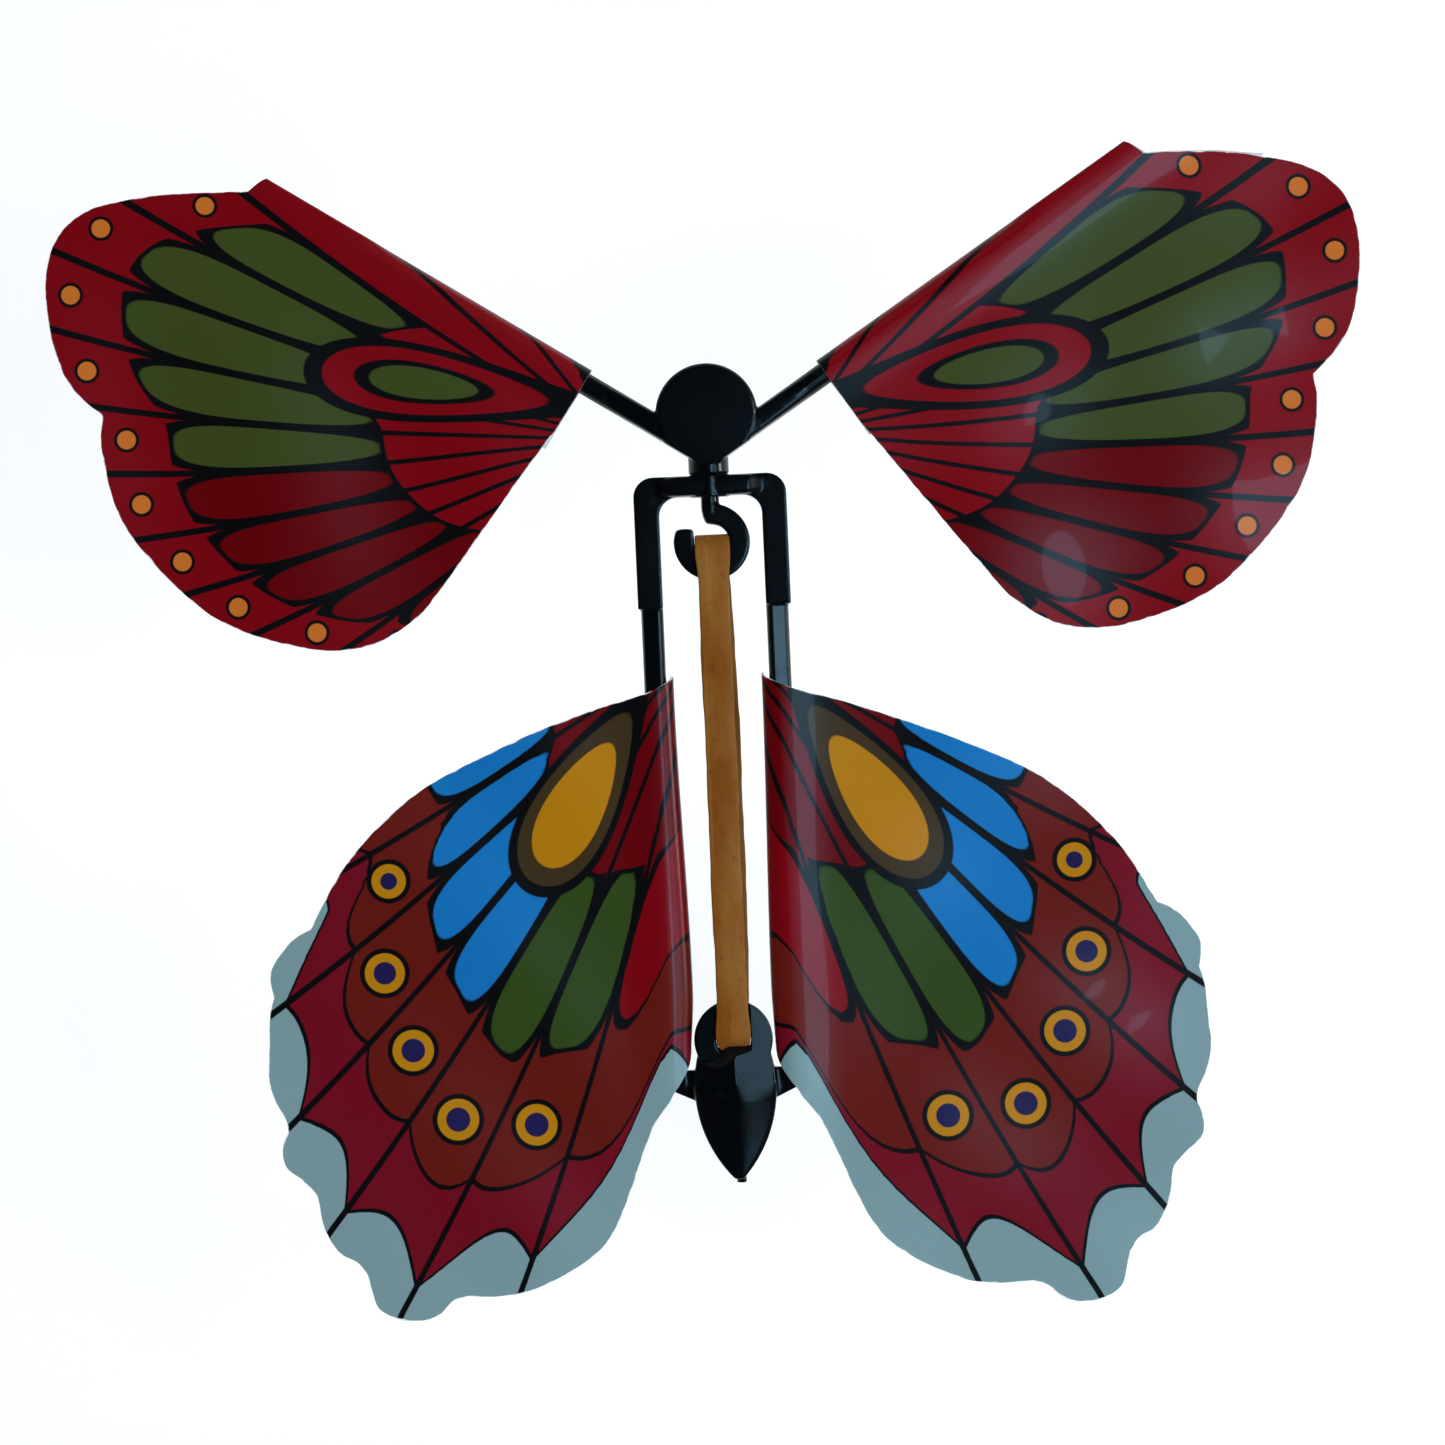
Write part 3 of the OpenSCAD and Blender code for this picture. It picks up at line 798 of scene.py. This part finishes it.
def hindwing_print(cells):
    arch = cells.side ** 2 * BAND_ARCH
    colour = inside((BRICK_FROM - arch - cells.v) * cells.ray).mix(DARK_RED, BRICK)
    colour = inside((MAROON_FROM - arch - cells.v) * cells.ray).mix(colour, MAROON)
    for place in (BRICK_FROM, MAROON_FROM):
        colour = line((cells.v - place + arch) * cells.ray, LINE).mix(colour, BLACK_INK)
    depth = (CRESCENT_DEEP - cells.u * CRESCENT_SHRINKS).math("MAXIMUM", CRESCENT_LEAST)
    crescent = cells.to_margin - depth * (1 - cells.side ** 2 * CRESCENT_ROUND)
    colour = outlined(colour, crescent, PALE_TEAL)
    colour = line(cells.to_vein, VEIN + cells.v * HIND_VEIN_GROWS).mix(colour, BLACK_INK)
    pane = cells.pane(v_from=0.36, v_to=0.625, clear=CLEAR)
    for first, last, fill in ((5, 8, BLUE), (3, 4, GREEN), (2, 2, CRIMSON)):
        colour = cells.between(first, last).mix(colour, outlined(colour, pane, fill))
    eyes = spots(cells, HIND_FAN, range(3, 8), v=0.74, share=0.29, largest=1.9)
    colour = outlined(colour, eyes, AMBER)
    colour = inside(eyes + EYE_RIM).mix(colour, INDIGO)
    root_leaf = leaf(cells, *HIND_LEAF)
    colour = outlined(colour, root_leaf, BROWN, width=0.6)
    return inside(root_leaf + HIND_LEAF_RIM).mix(colour, AMBER)


# %% [markdown]
# The film itself is white. Its back shows the print only as a faint shadow, its cut edges are bare white, and
# here and there the cut has bared a hair of white in front. A fine ripple in the glossy lamination breaks up
# reflections.

# %% Film finishes
BACK_SHOWS = 0.2
NICK_LEVEL = 0.42
NICK_DEEP = 0.4


def film(name, draw, show):
    """Printed film: show is how much of the print reaches this side."""
    root, close = finish_material(name)
    cells = Cells(root)
    colour = draw(cells)
    if show < 1:
        colour = root.mix(WHITE_FILM, colour, share=show)
    nick = grain(root, size_mm=1.5)
    colour = inside(cells.cut - (nick - NICK_LEVEL) * NICK_DEEP).mix(colour, WHITE_FILM)
    ripple = grain(root, size_mm=9, detail=1.0)
    peel = grain(root, size_mm=0.7, detail=2.0)
    return close({
        "Base Color": colour,
        "Roughness": 0.28 + ripple * 0.12,
        "Normal": bumps(root, ripple + peel * 0.04, depth_mm=0.05),
        "Specular IOR Level": 0.18,
        "Coat Weight": 0.05,
    })


def film_finishes(name, draw):
    """The finishes of a wing's front, back and rim."""
    return [film(name + "_front", draw, 1), film(name + "_back", draw, BACK_SHOWS), EDGE]


root, close = finish_material("film_edge")
speck = grain(root, size_mm=0.4)
EDGE = close({"Base Color": speck.mix(ink(214, 216, 214), ink(236, 236, 232)), "Roughness": 0.4})
FORE_FINISH = film_finishes("forewing", forewing_print)
HIND_FINISH = film_finishes("hindwing", hindwing_print)

# %% [markdown]
# ## Folding the film
#
# The flat piece is cut into a fine grid, so that it can bend. Folding is then one rule for each point: out
# on the wing it stays nearly flat with a slow wave, over the rod it follows the loop, and behind it comes
# back as a flap to the glued land. Past the end of an arm there is nothing inside, so the fold lies flat.

# %% Cut a grid into the flat film
GRID = 1.0
LOOP_STEPS = 12
BACK_STEPS = 8
CUT_SLACK = 1e-5
WELD = 0.04


def grid_film(cut):
    """A flat mesh of the cut, in millimetres, split into a grid that is finer over the fold."""
    flat = bmesh.new()
    flat.faces.new([flat.verts.new((along, out, 0)) for along, out in cut])
    alongs, outs = zip(*cut)
    lines = [(a, (1, 0, 0)) for a in np.arange(min(alongs) + GRID / 2, max(alongs), GRID)]
    lines += [(o, (0, 1, 0)) for o in np.arange(0, max(outs), GRID)]
    lines += [(-LOOP * k / LOOP_STEPS, (0, 1, 0)) for k in range(1, LOOP_STEPS + 1)]
    lines += [(-LOOP - BACK * k / BACK_STEPS, (0, 1, 0)) for k in range(1, BACK_STEPS + 1)]
    for place, normal in lines:
        everything = flat.verts[:] + flat.edges[:] + flat.faces[:]
        point = Vector(normal) * float(place)
        bmesh.ops.bisect_plane(flat, geom=everything, plane_co=point, plane_no=normal, dist=CUT_SLACK)
    bmesh.ops.remove_doubles(flat, verts=flat.verts[:], dist=WELD)
    return flat


# %% Fold it
FILM = 0.25
ROD = 1.025
ROD_GAP = 0.1
SINK = 0.02
ROUND = ROD + ROD_GAP + FILM / 2
SHEET = ROUND - SINK
FLAT_FOLD = FILM / 2 + 0.01
GLUE = 0.1
WAVE_FROM = 1.5
WAVE_GROWS = 14
CROWN = 0.42
CROWN_FROM = -0.3
CROWN_WIDTH = 4.2
CURL_AT = 36
SLIP_FADE = 12.0
PAST_ROD = 0.6
FLATTENS = 2.6


def ease(share):
    share = min(max(share, 0.0), 1.0)
    return share * share * (3 - 2 * share)


class Fold:
    """How one wing's film bends: its rod's end, how far the fold drifts from the rod, and its lie."""

    def __init__(self, rod, rod_end, loose, lie):
        self.rod, self.rod_end, self.loose, self.lie = rod, rod_end, loose, lie

    def wave(self, along, out):
        """How far the sheet rises or falls from flat."""
        grow = ease((out - WAVE_FROM) / WAVE_GROWS)
        fall = CROWN * ease((out - CROWN_FROM) / CROWN_WIDTH)
        rise = sum(
            height * math.sin(2 * math.pi * (along * x + out * y) + phase)
            for height, x, y, phase in self.lie["ripples"])
        return grow * rise - fall + self.lie["curl"] * (max(out, 0) / CURL_AT) ** 2

    def bend(self, along, flat_out):
        """A point of the flat film, folded: along the rod, out from it and up."""
        round_here = 1 - ease((along - self.rod_end - PAST_ROD) / FLATTENS)
        half = FLAT_FOLD + (ROUND - FLAT_FOLD) * round_here
        wide = ROUND + self.loose(along)
        wrap = -flat_out
        if wrap <= 0:
            slip_along, slip_out = self.lie["slip"]
            fade = ease(flat_out / SLIP_FADE)
            return along + slip_along * fade, flat_out + slip_out * fade, SHEET + self.wave(along, flat_out)
        if wrap <= LOOP:
            angle = math.pi * (0.5 - wrap / LOOP)
            return along, -wide * math.cos(angle), SHEET - half + half * math.sin(angle)
        land = SHEET - FILM - GLUE
        if wrap <= LOOP + BACK:
            share = (wrap - LOOP) / BACK
            out = share * (FLAP - LAND)
            low = SHEET - 2 * half
            return along, out, low + (land - low) * ease(share) + self.wave(along, out)
        out = FLAP - LAND + wrap - LOOP - BACK
        return along, out, land + self.wave(along, out)

    def place(self, point, side):
        """A folded point in the part's own frame, in metres, on the right (1) or the left (-1)."""
        origin, along, out = self.rod
        spot = origin + along * point[0] + out * point[1] + Vector((0, 0, point[2]))
        return Vector((spot.x * side, spot.y, spot.z)) * MM


print("the sheet lies", round(SHEET, 3), "mm above the middle of its rod")

# %% [markdown]
# The folded sheet gets its real thickness last: a printed front, a white back and a bare rim. The print's
# coordinates go to both sides.

# %% Give the film its thickness
def write_print(flat, fan):
    """Keeps the print's coordinates of each flat face corner in UV maps."""
    maps = {name: flat.loops.layers.uv.new(name) for name in ("vein", "size", "flat", "edge")}
    for face in flat.faces:
        points = np.array([loop.vert.co.xy for loop in face.loops])
        u, v, width, ray, cut = fan.coordinates(points)
        for i, loop in enumerate(face.loops):
            loop[maps["vein"]].uv = (u[i], v[i])
            loop[maps["size"]].uv = (width[i], ray[i])
            loop[maps["flat"]].uv = points[i]
            loop[maps["edge"]].uv = (cut[i], 0)


def thicken(sheet, thickness):
    """A closed film from one sheet: front faces first, then the back and the rim."""
    sheet.normal_update()
    normals = {v: v.normal.copy() for v in sheet.verts}
    front = sheet.faces[:]
    border = [e for e in sheet.edges if e.is_boundary]
    copied = bmesh.ops.duplicate(sheet, geom=sheet.verts[:] + sheet.edges[:] + front)
    twin = {v: copied["vert_map"][v] for v in normals}
    back = [copied["face_map"][f] for f in front]
    bmesh.ops.reverse_faces(sheet, faces=back)
    for v, other in twin.items():
        other.co = v.co - normals[v] * thickness / 2
        v.co = v.co + normals[v] * thickness / 2
    for face in back:
        face.material_index = 1
    for edge in border:
        loop = edge.link_loops[0]
        first = loop.vert
        second = loop.link_loop_next.vert
        rim = sheet.faces.new((second, first, twin[first], twin[second]))
        rim.material_index = 2
    for face in sheet.faces:
        face.smooth = True
    for edge in sheet.edges:
        edge.smooth = len({f.material_index for f in edge.link_faces}) == 1


def finished(name, made, finishes):
    """An object from a mesh in the making, with its finishes."""
    mesh = bpy.data.meshes.new(name)
    made.to_mesh(mesh)
    made.free()
    for finish in finishes:
        mesh.materials.append(finish)
    return in_scene(name, mesh)


def film_wing(node, cut, fan, fold, side, finishes):
    sheet = grid_film(cut)
    write_print(sheet, fan)
    for v in sheet.verts:
        v.co = fold.place(fold.bend(v.co.x, v.co.y), side)
    sheet.normal_update()
    if sum(f.normal.z * f.calc_area() for f in sheet.faces) < 0:
        bmesh.ops.reverse_faces(sheet, faces=sheet.faces[:])
    thicken(sheet, FILM * MM)
    stand_for(finished(node + "_film", sheet, finishes), node, node)


# %% [markdown]
# No two wings of a toy lie alike: each film has its own slow ripples, a free edge that curls up or down, and
# a small slip along and out from its rod where it was folded by hand. The hind wings' folds stand loosest
# from their legs at a waist near the tail, and close in again at the foot, so that the wings clear the tail.

# %% How each wing lies
LIE = {
    ("fore", 1): {
        "slip": (0.1, 0.6), "curl": 0.4, "ripples": [(0.22, 0.045, 0.02, 0.4), (0.12, -0.02, 0.06, 2.0)]},
    ("fore", -1): {
        "slip": (0.25, -0.45), "curl": -0.7, "ripples": [(0.24, 0.04, 0.025, 2.6), (0.12, 0.03, 0.055, 0.7)]},
    ("hind", 1): {
        "slip": (0.25, 0.7), "curl": 0.3, "ripples": [(0.25, 0.035, 0.03, 1.2), (0.12, -0.05, 0.04, 0.2)]},
    ("hind", -1): {
        "slip": (-0.5, -0.28), "curl": -0.8, "ripples": [(0.22, 0.04, 0.025, 3.4), (0.13, 0.045, 0.05, 1.5)]},
}
LEG_DRIFT = {1: (0.35, 0.7, 0.48), -1: (0.3, 0.85, 0.42)}
WAIST = 0.8
NO_END = 1e3


def leg_drift(side):
    """How far a hind wing's fold stands from its leg: at the top, at its waist and at the foot."""
    top, waist, foot = LEG_DRIFT[side]

    def drift(along):
        share = (along - hind_root) / (leg_sleeve_end - hind_root)
        to_waist = (waist - top) * ease(share / WAIST)
        return top + to_waist + (foot - waist) * ease((share - WAIST) / (1 - WAIST))

    return drift


# %% Make the four wings
folds = {}
for side, name in ((1, "right"), (-1, "left")):
    fore = name + "_forewing"
    hind = name + "_hindwing"
    folds[fore] = Fold(ARM_ROD, arm_end, lambda along: 0.0, LIE["fore", side])
    folds[hind] = Fold(LEG_ROD, NO_END, leg_drift(side), LIE["hind", side])
    film_wing(fore, fore_cuts[side][1], FORE_FAN, folds[fore], side, FORE_FINISH)
    film_wing(hind, hind_cut, HIND_FAN, folds[hind], side, HIND_FINISH)

# %% [markdown]
# ## Adhesive strips
#
# A milky adhesive strip holds each flap to the back of its sheet. It is only a tenth of a millimetre thick,
# and it follows the film's waves, so it is made by the same folding rule from its own flat rectangle.

# %% Adhesive
TAPE_OUT = (4.275, 6.875)
TAPE_ROWS = 40
TAPE_COLUMNS = 5
root, close = finish_material("adhesive")
smear = grain(root, size_mm=1.2, detail=4)
ADHESIVE = close({
    "Base Color": smear.mix(ink(206, 200, 178), ink(232, 228, 212)),
    "Roughness": 0.45 + smear * 0.2,
    "Normal": bumps(root, smear, depth_mm=0.02),
})


def adhesive_strip(wing, fold, side):
    kind = wing.split("_")[1]
    start, end = reach("right_" + kind + "_tape", fold.rod)
    outs = np.linspace(*TAPE_OUT, TAPE_COLUMNS)
    height = SHEET - FILM / 2 - GLUE / 2
    strip = bmesh.new()
    rows = []
    for along in np.linspace(start, end, TAPE_ROWS):
        places = [(along, out, height + fold.wave(along, out)) for out in outs]
        rows.append([strip.verts.new(fold.place(place, side)) for place in places])
    for first, second in zip(rows, rows[1:]):
        for i in range(TAPE_COLUMNS - 1):
            strip.faces.new((first[i], second[i], second[i + 1], first[i + 1]))
    thicken(strip, GLUE * MM)
    made = finished(wing + "_tape_strip", strip, [ADHESIVE] * 3)
    stand_for(made, wing + "_tape", wing)


for wing, fold in folds.items():
    adhesive_strip(wing, fold, 1 if wing.startswith("right") else -1)

# %% [markdown]
# ## The rubber band
#
# The motor is a flat loop of amber rubber, cut from a sheet, with a strand in front of the hooks and one
# behind. Its cut edges are never quite straight and its colour is cloudy. The loop is swept as a rounded
# section along its path, so it can have the real one's slack: the strand behind strays a little to one
# side.

# %% Rubber
root, close = finish_material("amber_rubber")
cloud = grain(root, size_mm=3.2, detail=4, stretch=(1, 0.35, 1))
fleck = grain(root, size_mm=0.5, detail=3, stretch=(1, 0.6, 1))
streak = grain(root, size_mm=0.9, detail=2, stretch=(1, 0.06, 1))
colour = patches(cloud, level=0.353, contrast=3.4).mix(ink(114, 62, 0), ink(133, 87, 34))
colour = patches(streak, level=0.55, contrast=3).mix(colour, ink(144, 98, 44))
colour = patches(fleck, level=0.6, contrast=4).mix(colour, ink(92, 47, 0))
RUBBER = close({
    "Base Color": colour,
    "Roughness": 0.5 + fleck * 0.25,
    "Normal": bumps(root, fleck * 0.5 + streak, depth_mm=0.035),
    "Specular IOR Level": 0.22,
    "Subsurface Weight": 0.1,
    "Subsurface Scale": 0.4 * MM,
})

# %% The loop's path
BAND_THICK = 0.9
HOOK_REACH = 0.1
TAIL_REACH = 0.5
STRAY_POWER = 0.6
low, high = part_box("rubber_band")
band_width = (high.x - low.x) / MM
band_radius = (high.z - low.z) / MM / 2
mid_radius = band_radius - BAND_THICK / 2
axis_height = (high.z + low.z) / MM / 2
band_bottom = low.y / MM + band_radius - TAIL_REACH
band_top = high.y / MM - band_radius + HOOK_REACH
strand = band_top - band_bottom
bend = math.pi * mid_radius
loop_length = 2 * strand + 2 * bend


def bend_point(centre, angle):
    """A point of the bend round a hook, as loop_point gives it."""
    out = (math.cos(angle), math.sin(angle))
    return (centre + mid_radius * out[0], mid_radius * out[1]), out, 0.0


def loop_point(run):
    """The middle of the band at a length along its loop: place, outward direction, and share of stray."""
    if run < strand:
        return (band_bottom + run, mid_radius), (0, 1), 0.0
    if run < strand + bend:
        return bend_point(band_top, math.pi / 2 - (run - strand) / mid_radius)
    if run < 2 * strand + bend:
        back = run - strand - bend
        return (band_top - back, -mid_radius), (0, -1), math.sin(math.pi * back / strand) ** STRAY_POWER
    return bend_point(band_bottom, -math.pi / 2 - (run - 2 * strand - bend) / mid_radius)


print("band:", round(band_width, 2), "mm wide,", round(loop_length), "mm round")

# %% The loop
STRAND_STEP = 0.5
CORNER = 0.2
CORNER_STEPS = 4
SIDE_TRIM = 0.06
FACE_TRIM = 0.02
END_BULGE = 0.16
BULGE_LONG = 2
END_ROUND = 0.7
UNEVEN = [(0.025, 9, 1), (0.014, 23, 0), (0.01, 41, 2)]
STRAY = 0.42
SWAY = 0.03
SWAY_TIMES = 5


def band_section(half_width, half_thick):
    """A rounded rectangle, as points across and through the band."""
    ring = []
    for x, y, first in ((1, 1, 0), (-1, 1, 90), (-1, -1, 180), (1, -1, 270)):
        for step in range(CORNER_STEPS + 1):
            angle = math.radians(first + step * 90 / CORNER_STEPS)
            ring.append((
                x * (half_width - CORNER) + CORNER * math.cos(angle),
                y * (half_thick - CORNER) + CORNER * math.sin(angle)))
    return ring


def extra_width(along):
    """How much wider each half of the band is near its ends, with its lower end rounded off."""
    past_middle = abs(along - (band_bottom + band_top) / 2) - strand / 2
    extra = END_BULGE * ease(past_middle / BULGE_LONG + 1)
    if along < band_bottom:
        short = max(END_ROUND - (mid_radius - past_middle), 0)
        extra -= END_ROUND - math.sqrt(max(END_ROUND ** 2 - short ** 2, 0))
    return extra


def rubber_loop():
    loop = bmesh.new()
    rings = []
    for run in np.arange(0, loop_length, STRAND_STEP):
        (along, up), (out_along, out_up), stray = loop_point(run)
        turn = 2 * math.pi * run / loop_length
        uneven = sum(deep * math.sin(times * turn + phase) for deep, times, phase in UNEVEN)
        shift = STRAY * stray + SWAY * math.sin(SWAY_TIMES * turn)
        half_width = band_width / 2 - SIDE_TRIM + uneven + extra_width(along)
        ring = []
        for across, through in band_section(half_width, BAND_THICK / 2 - FACE_TRIM):
            spot = (across + shift, along + out_along * through, axis_height + up + out_up * through)
            ring.append(loop.verts.new(Vector(spot) * MM))
        rings.append(ring)
    for face in join_rings(loop, rings + rings[:1]):
        face.smooth = True
    bmesh.ops.recalc_face_normals(loop, faces=loop.faces[:])
    return finished("rubber_loop", loop, [RUBBER])


rubber = rubber_loop()
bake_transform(rubber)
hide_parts("rubber_band")
print("the loop has", len(rubber.data.polygons), "faces")

# %% [markdown]
# ## Floor and light
#
# The toy is shown in the air, as it flies, so that its spinning wings clear the floor. The floor is white
# and takes a soft shadow; what the camera and mirrors see of it is lifted a little, so it stays white. The
# room is bright low down and dark overhead, which keeps glossy black plastic black from above, and a window
# on the right draws the bright lines along its edges.

# %% Floor
FLOOR_SIDE = 6
FLOOR_DROP = 68
FLOOR_LIFT = 0.3
pale_floor, root = blank(bpy.data.materials, "pale_floor")
kinds = ("Is Camera Ray", "Is Glossy Ray", "Is Transmission Ray")
camera_ray, mirror_ray, glass_ray = (root.node("LightPath", {}, {}, output=kind) for kind in kinds)
seen = camera_ray.math("MAXIMUM", mirror_ray).math("MAXIMUM", glass_ray)
matte = root.node("BsdfDiffuse", {}, {"Color": (0.8, 0.8, 0.8, 1)})
glow = root.node("Emission", {}, {"Strength": seen * FLOOR_LIFT})
root.node("OutputMaterial", {}, {"Surface": root.node("AddShader", {}, {0: matte, 1: glow})})
bpy.ops.mesh.primitive_plane_add(size=FLOOR_SIDE, location=(0, 0, -FLOOR_DROP * MM))
floor = bpy.context.object
floor.name = "floor"
floor.data.materials.append(pale_floor)
print("the floor lies", FLOOR_DROP, "mm below the toy")

# %% Room
OVERHEAD = 0.02
LOW_DOWN = 0.28
DARK_ABOVE = 1.4
world, room = blank(bpy.data.worlds, "room")
bpy.context.scene.world = world
direction = room.node("TexCoord", {}, {}, output="Generated")
up = room.node("SeparateXYZ", {}, {0: direction}, output="Z")
low_down = (1 - up * DARK_ABOVE).math("MAXIMUM", 0, clamp=True)
strength = OVERHEAD + low_down ** 2 * LOW_DOWN
sky = room.node("Background", {}, {"Color": (1, 1, 1, 1), "Strength": strength})
room.node("OutputWorld", {}, {"Surface": sky})
print("the room has", len(world.node_tree.nodes), "nodes")


# %% Lamps
def soft_lamp(name, place, size, power, colour=(1, 1, 1), mirrored=True):
    """A soft box that faces the toy, mirrored by glossy surfaces or not."""
    lamp = bpy.data.lights.new(name, "AREA")
    lamp.shape = "RECTANGLE"
    lamp.size, lamp.size_y = size
    lamp.energy = power
    lamp.color = colour
    made = in_scene(name, lamp)
    made.location = place
    made.rotation_euler = (-Vector(place)).to_track_quat("-Z", "Y").to_euler()
    made.visible_camera = False
    made.visible_glossy = mirrored
    print(name, "gives", power, "watts")


COOL = (0.86, 0.95, 1.0)
BLUE_SKY = (0.38, 0.72, 1.0)
soft_lamp("window", (0.55, 0.06, 0.2), size=(0.22, 0.12), power=1.5, colour=COOL)
soft_lamp("skylight", (0.128, -0.01, 0.42), size=(0.09, 0.06), power=0.3, colour=BLUE_SKY)
soft_lamp("side_panel", (0.25, -0.07, 0.36), size=(0.3, 0.12), power=0.46, colour=BLUE_SKY)
for x, y in ((-0.3, -0.45), (-0.3, 0.45), (0.3, -0.45), (0.3, 0.45)):
    soft_lamp("fill", (x, y, 0.42), size=(0.3, 0.3), power=1.42, mirrored=False)
bpy.context.scene.view_settings.view_transform = "Standard"

# %% Update the scene
bpy.context.view_layer.update()
